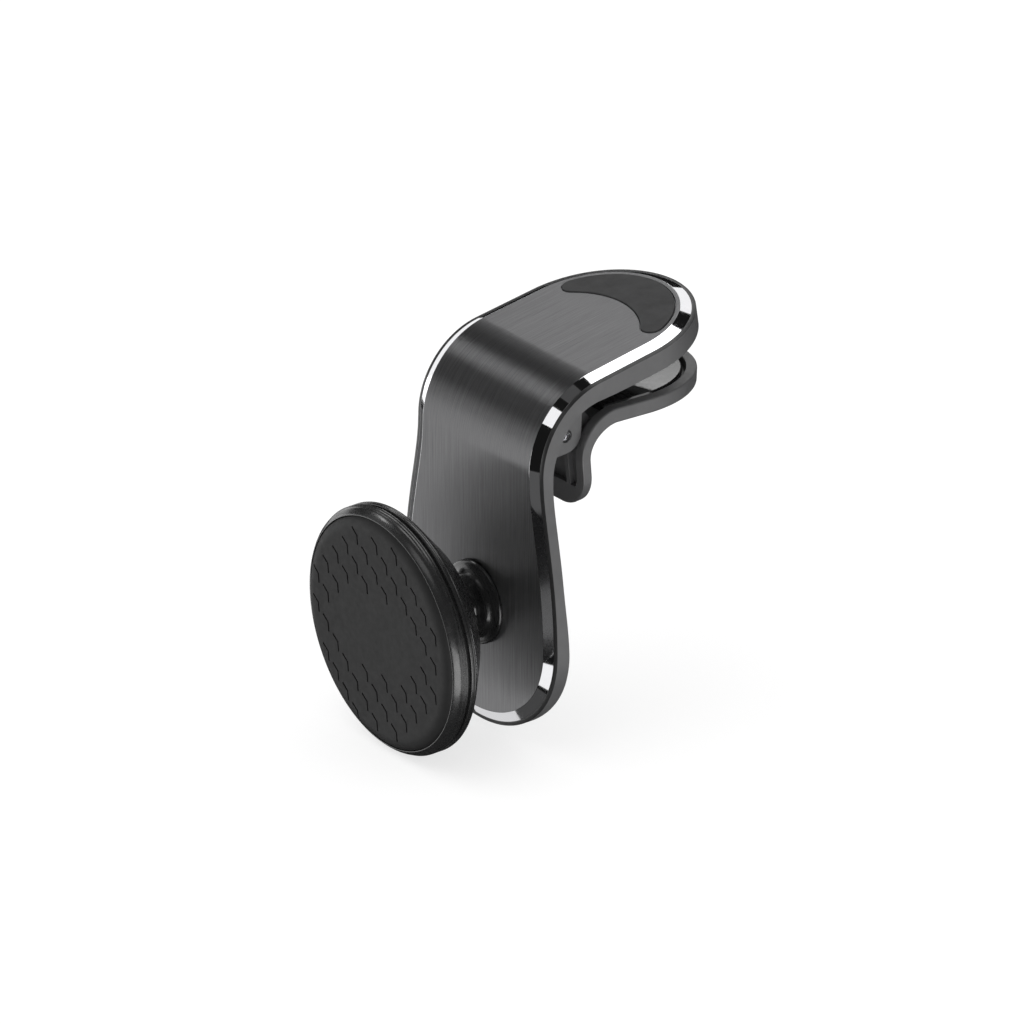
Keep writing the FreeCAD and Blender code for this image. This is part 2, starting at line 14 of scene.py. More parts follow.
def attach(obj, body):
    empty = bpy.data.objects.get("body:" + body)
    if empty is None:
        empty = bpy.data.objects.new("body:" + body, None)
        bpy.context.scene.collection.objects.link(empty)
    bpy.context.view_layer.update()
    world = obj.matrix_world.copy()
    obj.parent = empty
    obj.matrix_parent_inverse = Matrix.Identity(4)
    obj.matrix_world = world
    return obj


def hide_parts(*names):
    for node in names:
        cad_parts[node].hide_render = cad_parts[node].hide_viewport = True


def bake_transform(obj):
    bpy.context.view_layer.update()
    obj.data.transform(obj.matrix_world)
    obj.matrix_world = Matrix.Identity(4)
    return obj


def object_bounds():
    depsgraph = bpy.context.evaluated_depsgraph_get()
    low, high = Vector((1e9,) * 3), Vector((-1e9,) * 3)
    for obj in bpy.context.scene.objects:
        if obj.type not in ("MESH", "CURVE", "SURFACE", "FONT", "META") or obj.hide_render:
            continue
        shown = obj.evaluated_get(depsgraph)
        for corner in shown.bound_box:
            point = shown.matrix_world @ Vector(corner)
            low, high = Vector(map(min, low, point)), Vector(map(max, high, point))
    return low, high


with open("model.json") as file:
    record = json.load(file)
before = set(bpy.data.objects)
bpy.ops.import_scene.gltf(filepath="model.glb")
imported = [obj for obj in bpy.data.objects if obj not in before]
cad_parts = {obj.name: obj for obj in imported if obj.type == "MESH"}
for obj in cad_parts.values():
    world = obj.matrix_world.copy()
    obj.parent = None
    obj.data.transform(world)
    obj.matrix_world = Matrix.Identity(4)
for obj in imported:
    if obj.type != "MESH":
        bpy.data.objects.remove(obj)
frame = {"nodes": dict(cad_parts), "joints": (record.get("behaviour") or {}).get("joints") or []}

cad_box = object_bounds()
record_joints = {joint["name"]: joint for joint in frame["joints"]}

# ---- driving sizes, in millimetres
JAW_MIDDLE = Vector((0, 30, 56.8))
TO_ROW = Matrix.Scale(0.001, 4) @ Matrix.Translation(-JAW_MIDDLE)


def in_part(pos_m):
    """A point of the row frame, in the millimetres used here."""
    return Vector(pos_m) * 1000 + JAW_MIDDLE


PIN = in_part(record_joints["clip_hinge"]["pos_m"])
BALL = in_part(record_joints["head_spin"]["pos_m"])

FOOT_RUN, BEND_R, BEND_DEG, TOP_RUN = 47.1, 15.3, 81.3, 27.0
STRIP_RUN = FOOT_RUN + BEND_R * math.radians(BEND_DEG) + TOP_RUN
FOOT_HALF, FOOT_END = 17.9, 16.0
NECK_HALF, FOOT_HANDLE, NECK_HANDLE = 14.1, 14.5, 7.5
TOP_HALF, TOP_END = 13.9, 15.2
BEVEL_OUT, BEVEL_DEEP, PLATE_T = 1.8, 0.8, 1.05
LIP_OUT, LIP_FRONT, LIP_DEEP = 2.56, 0.78, 1.02
SEAT_OUT = BEVEL_OUT + 0.05
SEAT_DEEP = 1.2
LIP_EDGE = 2.16
FOOT_T, WAIST_T, BEND_T, TOP_T = 3.6, 3.0, 3.6, 4.5
TAIL_RUN, TAIL_T = 10.5, 1.1
BOSS_R, BOSS_START, BOSS_BACK = 5.0, 1.5, 3.45
RIB_HALF, POCKET_MARGIN, POCKET_FLOOR, POCKET_OPEN = 0.6, -0.6, 2.3, 7
POCKET_RUNS = ((7, 11.5), (12.7, 26.5), (27.7, 34.5), (35.7, 43))
GRIP_MARGIN, GRIP_START, GRIP_END, GRIP_BACK, GRIP_T = -2.6, 7, 24.9, 0.62, 1.2
GROOVE_COUNT, GROOVE_START, GROOVE_STEP, GROOVE_WIDE = 8, 8.8, 1.9, 0.7

EAR_IN, EAR_OUT, EAR_R = 11.1, 13.0, 3.3
PIN_R, PIN_HOLE_R, PIN_SHORT = 0.8, 0.82, 0.35
PIN_MOUTH_R, PIN_MOUTH_DEEP = 1.15, 0.5
KNUCKLE_R, KNUCKLE_IN, KNUCKLE_HOLE_R, SIDE_GAP = 2.9, 7.6, 0.85, 0.3
LEVER_HALF, JAW_T, LEVER_WALL, LEVER_FLOOR = 14.3, 2.7, 1.9, 1.2
JAW_TIP_Y, JAW_TIP_Z, JAW_DEG, JAW_END = 43.75, 53.1, 2.5, 18.4
TAB_Y, TAB_Z, TAB_DEG, TAB_T, TAB_FLOOR = 11.5, 43.0, 5.0, 1.9, 1.0
TAB_FOOT_Z, TAB_LEDGE_Z, TAB_CORNER = 36.8, 41.0, 6.7
LEVER_R = 7.5

BALL_R, NECK_R = 5.5, 3.0
HEAD_R, PAD_R, PAD_FRONT = 21.65, 20.3, 20.3
COVER_FRONT, BAND_FRONT, CARRIER_FRONT = 16.6, 17.15, 18.1
REST_TILT, REST_TURN = 2.2, -2.9


# ---- mesh tools

def recalc(bm):
    bmesh.ops.recalc_face_normals(bm, faces=bm.faces[:])


def soften(bm, size, angle=35, segments=2, where=None):
    """Round every edge sharper than an angle, or those that where() picks."""
    edges = []
    for edge in bm.edges:
        if len(edge.link_faces) != 2 or edge.calc_face_angle(0) < math.radians(angle):
            continue
        if where is None or where(edge):
            edges.append(edge)
    bmesh.ops.bevel(bm, geom=edges, offset=size, offset_type="OFFSET", segments=segments, profile=0.5,
                    affect="EDGES", clamp_overlap=True, material=-1)


def cut_at(bm, point, normal, clear_above=False):
    """Cut a shape along a plane. clear_above drops the side that the normal points to."""
    geom = bm.verts[:] + bm.edges[:] + bm.faces[:]
    bmesh.ops.bisect_plane(bm, geom=geom, plane_co=point, plane_no=normal, clear_outer=clear_above)


def only(kind, geom):
    return [item for item in geom if isinstance(item, kind)]


def extrude(bm, faces, vec):
    """Extrude a region of faces along a vector and return the moved faces."""
    moved = bmesh.ops.extrude_face_region(bm, geom=faces)["geom"]
    bmesh.ops.translate(bm, verts=only(bmesh.types.BMVert, moved), vec=vec)
    return only(bmesh.types.BMFace, moved)


def thicken(bm, lift):
    """Turn a flat sheet into a slab: a copy of its faces is moved up and walls join the two."""
    top = extrude(bm, bm.faces[:], (0, 0, lift))
    recalc(bm)
    return top


def inset(bm, faces, width):
    """Inset a region of faces and return the ring; the faces themselves become the inner region."""
    result = bmesh.ops.inset_region(bm, faces=faces, thickness=width, use_boundary=True, use_even_offset=True)
    return result["faces"]


def verts_of(faces):
    return list({v for face in faces for v in face.verts})


def push(bm, faces, lift):
    """Move a region straight up or down and join it to its old place with walls."""
    extrude(bm, faces, (0, 0, lift))
    bmesh.ops.delete(bm, geom=[f for f in faces if f.is_valid], context="FACES_ONLY")


def joined(*parts):
    """One bmesh that holds several."""
    whole = bmesh.new()
    for part in parts:
        mesh = bpy.data.meshes.new("part")
        part.to_mesh(mesh)
        whole.from_mesh(mesh)
        bpy.data.meshes.remove(mesh)
        part.free()
    return whole


def temporary(bm, name):
    """An object that a Boolean can use; carved() removes it again."""
    mesh = bpy.data.meshes.new(name)
    bm.to_mesh(mesh)
    bm.free()
    thing = bpy.data.objects.new(name, mesh)
    bpy.context.scene.collection.objects.link(thing)
    return thing


def carved(bm, *cutters, operation="DIFFERENCE"):
    """bm with other closed shapes cut out of it, or added to it."""
    body = temporary(bm, "body")
    tools = [temporary(cutter, "tool") for cutter in cutters]
    for tool in tools:
        modifier = body.modifiers.new("carve", "BOOLEAN")
        modifier.operation = operation
        modifier.solver = "EXACT"
        modifier.object = tool
    result = bmesh.new()
    result.from_mesh(body.evaluated_get(bpy.context.evaluated_depsgraph_get()).to_mesh())
    for thing in [body] + tools:
        mesh = thing.data
        bpy.data.objects.remove(thing)
        bpy.data.meshes.remove(mesh)
    bmesh.ops.remove_doubles(result, verts=result.verts[:], dist=0.0005)
    return result


def mirrored(bm):
    """The same shape on the other side of the mount."""
    other = bm.copy()
    bmesh.ops.scale(other, verts=other.verts[:], vec=(-1, 1, 1))
    bmesh.ops.reverse_faces(other, faces=other.faces[:])
    return other


def rod(radius, start, end, segments=48):
    """A round bar from one point to another."""
    start, end = Vector(start), Vector(end)
    bm = bmesh.new()
    bmesh.ops.create_cone(bm, cap_ends=True, segments=segments, radius1=radius, radius2=radius,
                          depth=(end - start).length)
    turn = Vector((0, 0, 1)).rotation_difference(end - start).to_matrix().to_4x4()
    bm.transform(Matrix.Translation((start + end) / 2) @ turn)
    return bm


def arc(centre, radius, first, last, steps):
    """Points along an arc, angles in degrees."""
    points = []
    for i in range(steps + 1):
        a = math.radians(first + (last - first) * i / steps)
        points.append((centre[0] + radius * math.cos(a), centre[1] + radius * math.sin(a)))
    return points


def turned(profile, steps=160, closed=True):
    """Turn a profile of (radius, h) about the head's axis; h is the height in front of the plate."""
    bm = bmesh.new()
    verts = [bm.verts.new((r, -h, 0)) for r, h in profile]
    edges = [bm.edges.new(pair) for pair in zip(verts, verts[1:])]
    if closed:
        edges.append(bm.edges.new((verts[-1], verts[0])))
    bmesh.ops.spin(bm, geom=verts + edges, cent=(0, 0, 0), axis=(0, 1, 0), dvec=(0, 0, 0), angle=2 * math.pi,
                   steps=steps, use_merge=True, use_duplicate=False)
    bmesh.ops.remove_doubles(bm, verts=bm.verts[:], dist=0.0005)
    recalc(bm)
    bmesh.ops.translate(bm, verts=bm.verts[:], vec=(0, 0, BALL.z))
    return bm


def on_ball(bm):
    """Turn a piece of the head about the ball, to where the head is at rest."""
    turn = Matrix.Rotation(math.radians(REST_TILT), 4, "X") @ Matrix.Rotation(math.radians(REST_TURN), 4, "Z")
    bm.transform(Matrix.Translation(BALL) @ turn @ Matrix.Translation(-BALL))
    return bm


def prism(points, x0, x1):
    """A plate across the mount: an outline of (y, z) points from one x to another."""
    bm = bmesh.new()
    face = bm.faces.new([bm.verts.new((x0, y, z)) for y, z in points])
    extrude(bm, [face], (x1 - x0, 0, 0))
    recalc(bm)
    return bm


# ---- bent strips: drawn flat as (across, run, lift) and then laid along a bent line

def bent_line(y, z, heading, first_run, radius, turn):
    """A line that starts at (y, z), runs straight, bends to the back and runs straight again.

    Headings are counted from straight up towards the back. It returns a function that takes a run and a
    depth and gives (y, z).
    """
    h0, h1 = math.radians(heading), math.radians(heading + turn)
    bend_run = radius * math.radians(turn)

    def place(run, depth):
        before = min(run, first_run)
        h = h0 + (h1 - h0) * min(max((run - first_run) / bend_run, 0), 1)
        past = max(run - first_run - bend_run, 0)
        py = y + before * math.sin(h0) + radius * (math.cos(h0) - math.cos(h)) + past * math.sin(h)
        pz = z + before * math.cos(h0) + radius * (math.sin(h) - math.sin(h0)) + past * math.cos(h)
        return py + depth * math.cos(h), pz - depth * math.sin(h)

    return place


def wrap(bm, place):
    """Lay a flat shape of (across, run, lift) along a bent line."""
    for v in bm.verts:
        y, z = place(v.co.y, -v.co.z)
        v.co = (v.co.x, y, z)
    recalc(bm)


def rise(value, first, last):
    """0 before first, 1 after last and a smooth rise between them."""
    u = min(max((value - first) / (last - first), 0), 1)
    return 0.5 - 0.5 * math.cos(math.pi * u)


def strip_half(run):
    """Half width of the brushed face between its two rounded ends."""
    if run >= FOOT_RUN:
        past_bend = max(run - (STRIP_RUN - TOP_RUN), 0) / (TOP_RUN - TOP_END)
        return NECK_HALF + (TOP_HALF - NECK_HALF) * min(past_bend, 1)
    low, high = 0.0, 1.0
    for _ in range(30):
        t = (low + high) / 2
        u = 1 - t
        here = (FOOT_END * u ** 3 + 3 * (FOOT_END + FOOT_HANDLE) * u * u * t
                + 3 * (FOOT_RUN - NECK_HANDLE) * u * t * t + FOOT_RUN * t ** 3)
        low, high = (t, high) if here < run else (low, t)
    return FOOT_HALF * (u ** 3 + 3 * u * u * t) + NECK_HALF * (3 * u * t * t + t ** 3)


def back_depth(run):
    """How far the frame's back is behind the brushed face."""
    if run < TAIL_RUN:
        u = (TAIL_RUN - run) / (TAIL_RUN + LIP_OUT)
        return TAIL_T + (FOOT_T - TAIL_T) * math.sqrt(max(1 - u * u, 0))
    depth = FOOT_T + (WAIST_T - FOOT_T) * rise(run, 14, 28)
    depth += (BEND_T - WAIST_T) * rise(run, 42, 56)
    return depth + (TOP_T - BEND_T) * rise(run, 56, 76)


strip_line = bent_line(0, 0, 0, FOOT_RUN, BEND_R, BEND_DEG)
STRIP_CUTS = ([FOOT_END + i * 1.6 for i in range(1, 19)]
              + [FOOT_RUN + BEND_R * math.radians(BEND_DEG) * i / 54 for i in range(55)]
              + [STRIP_RUN - TOP_RUN + i * 3 for i in range(1, 4)])


def strip_sheet(out, cuts=STRIP_CUTS):
    """The strip's outline as a flat sheet, a distance outside the brushed face."""
    bm = bmesh.new()
    bmesh.ops.create_circle(bm, cap_ends=True, segments=144, radius=1)
    top_start = STRIP_RUN - TOP_END
    for v in bm.verts:
        x, y = v.co.x, v.co.y
        if y < 1e-4:
            v.co = (x * (FOOT_HALF + out), FOOT_END + y * (FOOT_END + out), 0)
        else:
            v.co = (x * (TOP_HALF + out), top_start + y * (TOP_END + out), 0)
    for run in cuts:
        cut_at(bm, (0, run, 0), (0, 1, 0))
    for v in bm.verts:
        if FOOT_END + 0.01 < v.co.y < top_start - 0.01 and abs(v.co.x) > 1:
            v.co.x = math.copysign(strip_half(v.co.y) + out, v.co.x)
    return bm


# ---- materials

def shader(name):
    """A new material and short ways to add nodes to it."""
    mat = bpy.data.materials.new(name)
    mat.use_nodes = True
    nodes, links = mat.node_tree.nodes, mat.node_tree.links
    principled = nodes["Principled BSDF"]

    def add(kind, **settings):
        node = nodes.new(kind)
        for key, value in settings.items():
            if key in node.inputs:
                node.inputs[key].default_value = value
            else:
                setattr(node, key, value)
        return node

    return mat, principled, add, links.new


def object_noise(add, link, scale, stretch=(1, 1, 1), detail=3.0, roughness=0.55):
    """Noise in the row frame's coordinates. scale is per metre."""
    place = add("ShaderNodeTexCoord")
    mapping = add("ShaderNodeMapping")
    mapping.inputs["Scale"].default_value = stretch
    noise = add("ShaderNodeTexNoise", Scale=scale, Detail=detail, Roughness=roughness)
    link(place.outputs["Object"], mapping.inputs["Vector"])
    link(mapping.outputs["Vector"], noise.inputs["Vector"])
    return noise.outputs["Fac"]


def spread(add, link, source, low, high, value_low=0.0, value_high=1.0):
    """Map a noise range on to a range of values."""
    node = add("ShaderNodeMapRange")
    limits = {"From Min": low, "From Max": high, "To Min": value_low, "To Max": value_high}
    for socket, value in limits.items():
        node.inputs[socket].default_value = value
    link(source, node.inputs["Value"])
    return node.outputs["Result"]


def two_tone(add, link, source, dark, light):
    """A colour between two, as the source says."""
    mix = add("ShaderNodeMix", data_type="RGBA")
    mix.inputs["A"].default_value = (*dark, 1)
    mix.inputs["B"].default_value = (*light, 1)
    link(source, mix.inputs["Factor"])
    return mix.outputs["Result"]


def grey(value):
    """A grey that is very slightly blue."""
    return (value, value, value * 1.02)


def moulded(name, dark, light, roughness, grain=9000, bump=0.06, coat=0.0, specular=0.5):
    """Moulded plastic or rubber: slight colour drift, uneven gloss and a fine grain."""
    mat, bsdf, add, link = shader(name)
    drift = object_noise(add, link, 260, detail=4)
    tone = spread(add, link, drift, 0.3, 0.7)
    link(two_tone(add, link, tone, grey(dark), grey(light)), bsdf.inputs["Base Color"])
    sheen = object_noise(add, link, 900, detail=2)
    rough = spread(add, link, sheen, 0.3, 0.7, roughness - 0.04, roughness + 0.04)
    link(rough, bsdf.inputs["Roughness"])
    fine = object_noise(add, link, grain, detail=2)
    relief = add("ShaderNodeBump", Strength=bump, Distance=0.00005)
    link(fine, relief.inputs["Height"])
    link(relief.outputs["Normal"], bsdf.inputs["Normal"])
    bsdf.inputs["Specular IOR Level"].default_value = specular
    bsdf.inputs["Coat Weight"].default_value = coat
    bsdf.inputs["Coat Roughness"].default_value = 0.06
    return mat


def metal(name, dark, light, roughness, grain=5000, stretch=(1, 1, 1), bump=0.03):
    """Plain plated or turned metal."""
    mat, bsdf, add, link = shader(name)
    bsdf.inputs["Metallic"].default_value = 1.0
    drift = object_noise(add, link, grain, stretch, detail=3)
    tone = spread(add, link, drift, 0.3, 0.7)
    link(two_tone(add, link, tone, grey(dark), grey(light)), bsdf.inputs["Base Color"])
    link(spread(add, link, drift, 0.3, 0.7, roughness * 0.8, roughness * 1.2), bsdf.inputs["Roughness"])
    relief = add("ShaderNodeBump", Strength=bump, Distance=0.00003)
    link(drift, relief.inputs["Height"])
    link(relief.outputs["Normal"], bsdf.inputs["Normal"])
    return mat


def brushed_face():
    """Dark anodised metal, brushed along the strip. Its own UV map is (across, run), in centimetres."""
    mat, bsdf, add, link = shader("brushed_face")
    bsdf.inputs["Metallic"].default_value = 1.0
    bsdf.inputs["Anisotropic"].default_value = 0.8
    uv = add("ShaderNodeUVMap", uv_map="strip")
    streaks = []
    for across, along in ((160, 1.2), (620, 3.5), (60, 0.6)):
        mapping = add("ShaderNodeMapping")
        mapping.inputs["Scale"].default_value = (across, along, 1)
        noise = add("ShaderNodeTexNoise", Scale=1.0, Detail=3.0, Roughness=0.6)
        link(uv.outputs["UV"], mapping.inputs["Vector"])
        link(mapping.outputs["Vector"], noise.inputs["Vector"])
        streaks.append(noise.outputs["Fac"])
    both = add("ShaderNodeMix")
    both.inputs["Factor"].default_value = 0.45
    link(streaks[0], both.inputs["A"])
    link(streaks[1], both.inputs["B"])
    fine = both.outputs["Result"]
    all_three = add("ShaderNodeMix")
    all_three.inputs["Factor"].default_value = 0.3
    link(fine, all_three.inputs["A"])
    link(streaks[2], all_three.inputs["B"])
    tone = spread(add, link, all_three.outputs["Result"], 0.36, 0.64)
    link(two_tone(add, link, tone, grey(0.085), grey(0.205)), bsdf.inputs["Base Color"])
    link(spread(add, link, fine, 0.35, 0.65, 0.30, 0.42), bsdf.inputs["Roughness"])
    relief = add("ShaderNodeBump", Strength=0.25, Distance=0.00003)
    link(fine, relief.inputs["Height"])
    link(relief.outputs["Normal"], bsdf.inputs["Normal"])
    tangent = add("ShaderNodeTangent", direction_type="UV_MAP", uv_map="strip")
    link(tangent.outputs["Tangent"], bsdf.inputs["Tangent"])
    return mat


def polished_bevel():
    """The diamond-cut edge of the plate: bright and nearly a mirror."""
    mat, bsdf, add, link = shader("polished_bevel")
    bsdf.inputs["Metallic"].default_value = 1.0
    drift = object_noise(add, link, 700, detail=2)
    link(two_tone(add, link, drift, grey(0.84), grey(0.9)), bsdf.inputs["Base Color"])
    link(spread(add, link, drift, 0.3, 0.7, 0.035, 0.06), bsdf.inputs["Roughness"])
    return mat


BRUSHED = brushed_face()
POLISHED = polished_bevel()
FRAME_PLASTIC = moulded("frame_plastic", 0.088, 0.102, 0.42)
LIP_PLASTIC = moulded("lip_plastic", 0.014, 0.018, 0.35)
HEAD_PLASTIC = moulded("head_plastic", 0.014, 0.017, 0.27, bump=0.005, coat=0.2, specular=0.7)
BAND_PLASTIC = moulded("band_plastic", 0.008, 0.012, 0.5)
INLAY_RUBBER = moulded("inlay_rubber", 0.036, 0.05, 0.72, grain=5200, bump=0.5, specular=0.3)
PAD_RUBBER = moulded("pad_rubber", 0.011, 0.0135, 0.55, grain=6000, bump=0.1, specular=0.22)
GRIP_RUBBER = moulded("grip_rubber", 0.018, 0.026, 0.75, grain=4200, bump=0.4, specular=0.3)
JAW_GLOSS = moulded("jaw_gloss", 0.010, 0.014, 0.08, bump=0.0, coat=0.6)
NUT_PLASTIC = moulded("nut_plastic", 0.014, 0.02, 0.4)
LINER_ACETAL = moulded("liner_acetal", 0.42, 0.5, 0.45)
STUD_BLACK = moulded("stud_black", 0.010, 0.016, 0.24, bump=0.02, coat=0.3)
PLATED_STEEL = metal("plated_steel", 0.42, 0.55, 0.3)
PIN_STEEL = metal("pin_steel", 0.88, 0.95, 0.36)
SPRING_STEEL = metal("spring_steel", 0.4, 0.5, 0.22, stretch=(0.3, 1, 1))
NICKEL = metal("nickel", 0.6, 0.7, 0.16)
BOND_FILM = moulded("bond_film", 0.05, 0.07, 0.6)


def make(name, bm, material, body, *nodes, sharp=32, weighted=True):
    """Finish a shape: move it into the row frame, shade it, give it its body and hide the CAD nodes it stands
    for.
    """
    bm.transform(TO_ROW)
    mesh = bpy.data.meshes.new(name)
    bm.to_mesh(mesh)
    bm.free()
    materials = material if isinstance(material, (list, tuple)) else [material]
    for mat in materials:
        mesh.materials.append(mat)
    mesh.shade_smooth()
    mesh.set_sharp_from_angle(angle=math.radians(sharp))
    piece = bpy.data.objects.new(name, mesh)
    bpy.context.scene.collection.objects.link(piece)
    if weighted:
        modifier = piece.modifiers.new("face_normals", "WEIGHTED_NORMAL")
        modifier.keep_sharp = True
        modifier.weight = 80
    if body:
        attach(piece, body)
    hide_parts(*nodes)
    return piece


# ---- camera first

AZIMUTH, ELEVATION = math.radians(51.5), math.radians(25.0)
LENS_MM, DISTANCE = 703.1, 3.32
AIM, SHIFT_RIGHT, SHIFT_UP = Vector((0, 15, 35)), -5.74, -3.52
level = math.cos(ELEVATION)
back = Vector((math.sin(AZIMUTH) * level, -math.cos(AZIMUTH) * level, math.sin(ELEVATION)))
right = Vector((math.cos(AZIMUTH), math.sin(AZIMUTH), 0))
up = back.cross(right)
aim = TO_ROW @ AIM + (right * SHIFT_RIGHT + up * SHIFT_UP) * 0.001
camera_data = bpy.data.cameras.new("camera")
camera_data.lens = LENS_MM
camera_data.sensor_width = 36
camera_data.clip_end = 20
camera = bpy.data.objects.new("camera", camera_data)
facing = back.to_track_quat("Z", "Y").to_matrix().to_4x4()
camera.matrix_world = Matrix.Translation(aim + back * DISTANCE) @ facing
bpy.context.scene.collection.objects.link(camera)
bpy.context.scene.camera = camera


# ---- the strip

CRESCENT_MARGIN, CRESCENT_R, CRESCENT_RUN, CRESCENT_TIP_R = 0.9, 14.0, 4.1, 1.9
CRESCENT_GAP, CRESCENT_SEAT, CRESCENT_BACK, CRESCENT_PROUD = 0.14, -0.32, -0.3, 0.2


def crescent(grow, low, high):
    """The moon-shaped inlay, drawn flat; grow moves its outline outwards."""
    tip_r = CRESCENT_TIP_R + grow
    half, end = TOP_HALF - CRESCENT_MARGIN + grow, TOP_END - CRESCENT_MARGIN + grow
    start = TOP_RUN - TOP_END
    inner = CRESCENT_R - grow
    low_a, high_a = 0.0, math.pi / 2
    for _ in range(40):
        middle = (low_a + high_a) / 2
        x, run = (half - tip_r) * math.cos(middle), start + (end - tip_r) * math.sin(middle)
        outside = math.hypot(x, run - CRESCENT_RUN) > inner + tip_r
        low_a, high_a = (low_a, middle) if outside else (middle, high_a)
    tip = ((half - tip_r) * math.cos(high_a), start + (end - tip_r) * math.sin(high_a))
    leave = math.degrees(math.atan2(math.sin(high_a) / (end - tip_r), math.cos(high_a) / (half - tip_r)))
    join = math.degrees(math.atan2(tip[1] - CRESCENT_RUN, tip[0]))
    first = math.degrees(high_a)
    outer = [(half * x, start + end * y) for x, y in arc((0, 0), 1, first, 180 - first, 60)[1:-1]]
    right_tip = arc(tip, tip_r, join - 180, leave, 14)
    left_tip = [(-x, run) for x, run in reversed(right_tip)]
    points = right_tip + outer + left_tip + arc((0, CRESCENT_RUN), inner, 180 - join, join, 48)[1:-1]
    bm = bmesh.new()
    bm.faces.new([bm.verts.new((x, run + STRIP_RUN - TOP_RUN, low)) for x, run in points])
    thicken(bm, high - low)
    return bm


def face_plate():
    """The bent metal strip: a brushed face, a polished bevel round it and the seat of the inlay."""
    bm = strip_sheet(BEVEL_OUT)
    top = thicken(bm, 1)
    for v in bm.verts:
        v.co.z = -PLATE_T if v.co.z < 0.5 else -BEVEL_DEEP
    ring = inset(bm, top, BEVEL_OUT)
    for face in ring:
        face.material_index = 1
    for v in verts_of(top):
        v.co.z = 0
    for face in bm.faces:
        if abs(face.normal.z) < 0.1:
            face.material_index = 1
    recalc(bm)
    bm = carved(bm, crescent(CRESCENT_GAP, CRESCENT_SEAT, 1))
    soften(bm, 0.07, angle=15, segments=2, where=lambda e: all(abs(v.co.z) < 0.01 for v in e.verts)
           and any(f.normal.z < 0.97 for f in e.link_faces))
    layer = bm.loops.layers.uv.new("strip")
    for face in bm.faces:
        for loop in face.loops:
            loop[layer].uv = (loop.vert.co.x * 0.1, loop.vert.co.y * 0.1)
    wrap(bm, strip_line)
    return make("face_plate_skin", bm, [BRUSHED, POLISHED], "mount_body", "face_plate")


def crescent_pad():
    """The matte rubber inlay on the top end of the strip."""
    bm = crescent(0, CRESCENT_BACK, CRESCENT_PROUD)
    near_top = CRESCENT_PROUD - 0.01
    soften(bm, 0.14, angle=50, segments=3, where=lambda e: all(v.co.z > near_top for v in e.verts))
    wrap(bm, strip_line)
    return make("crescent_pad_skin", bm, INLAY_RUBBER, "mount_body", "crescent_pad")


def pocket(x0, x1, run0, run1):
    """One moulded pocket in the frame's back, between its ribs."""
    bm = strip_sheet(POCKET_MARGIN, cuts=[])
    for run in STRIP_CUTS[:19]:
        cut_at(bm, (0, run, 0), (0, 1, 0))
    for v in bm.verts:
        if FOOT_END + 0.01 < v.co.y < FOOT_RUN and abs(v.co.x) > 1:
            v.co.x = math.copysign(strip_half(v.co.y) + POCKET_MARGIN, v.co.x)
    for point, normal in (((x0, 0, 0), (-1, 0, 0)), ((x1, 0, 0), (1, 0, 0)), ((0, run0, 0), (0, -1, 0)),
                          ((0, run1, 0), (0, 1, 0))):
        cut_at(bm, point, normal, clear_above=True)
    bmesh.ops.dissolve_faces(bm, faces=bm.faces[:], use_verts=False)
    bmesh.ops.translate(bm, verts=bm.verts[:], vec=(0, 0, -POCKET_OPEN))
    thicken(bm, POCKET_OPEN - POCKET_FLOOR)
    soften(bm, 0.35, angle=60, segments=2)
    return bm


def ear():
    """The right ear that holds the hinge pin."""
    lobe = arc((PIN.y, PIN.z), EAR_R, -90, 0, 14)
    outline = [(3.0, PIN.z - EAR_R)] + lobe + [(PIN.y + EAR_R, 59.4), (8.5, 57.4), (4.5, 53.6), (3.0, 50.5)]
    bm = prism(outline, EAR_IN, EAR_OUT)
    soften(bm, 0.3, angle=40, segments=3, where=lambda e: all(v.co.y > 4.6 and v.co.z < 59 for v in e.verts))
    hole = rod(PIN_HOLE_R, (0, PIN.y, PIN.z), (20, PIN.y, PIN.z))
    mouth = rod(PIN_MOUTH_R, (EAR_OUT - PIN_MOUTH_DEEP, PIN.y, PIN.z), (20, PIN.y, PIN.z))
    return carved(bm, hole, mouth)


def rear_frame():
    """The moulded shell behind the plate, with its lip, its two ears, its ribs and the screw's boss."""
    bm = strip_sheet(LIP_OUT, [1, 2.5, 4.5, 7, 10] + STRIP_CUTS)
    top = thicken(bm, 1)
    for v in bm.verts:
        v.co.z = -back_depth(v.co.y) if v.co.z < 0.5 else -LIP_DEEP
    lip = inset(bm, top, LIP_OUT - LIP_EDGE)
    for v in verts_of(top):
        v.co.z = -LIP_FRONT
    lip += inset(bm, top, LIP_EDGE - SEAT_OUT)
    for face in lip:
        face.material_index = 1
    push(bm, top, LIP_FRONT - SEAT_DEEP)
    recalc(bm)
    soften(bm, 0.5, angle=50, segments=4, where=lambda e: all(v.co.z < -LIP_DEEP - 0.6 for v in e.verts)
           and any(f.normal.z < -0.7 for f in e.link_faces))
    cells = [(*sides, *runs) for sides in ((-30, -RIB_HALF), (RIB_HALF, 30)) for runs in POCKET_RUNS]
    bm = carved(bm, *[pocket(*cell) for cell in cells])
    wrap(bm, strip_line)
    boss = rod(BOSS_R, (0, BOSS_START, BALL.z), (0, BOSS_BACK, BALL.z), 64)
    soften(boss, 0.2, angle=60, segments=2)
    right_ear = ear()
    left_ear = mirrored(right_ear)
    whole = joined(bm, boss, right_ear, left_ear)
    return make("rear_frame_skin", whole, [FRAME_PLASTIC, LIP_PLASTIC], "mount_body", "rear_frame")


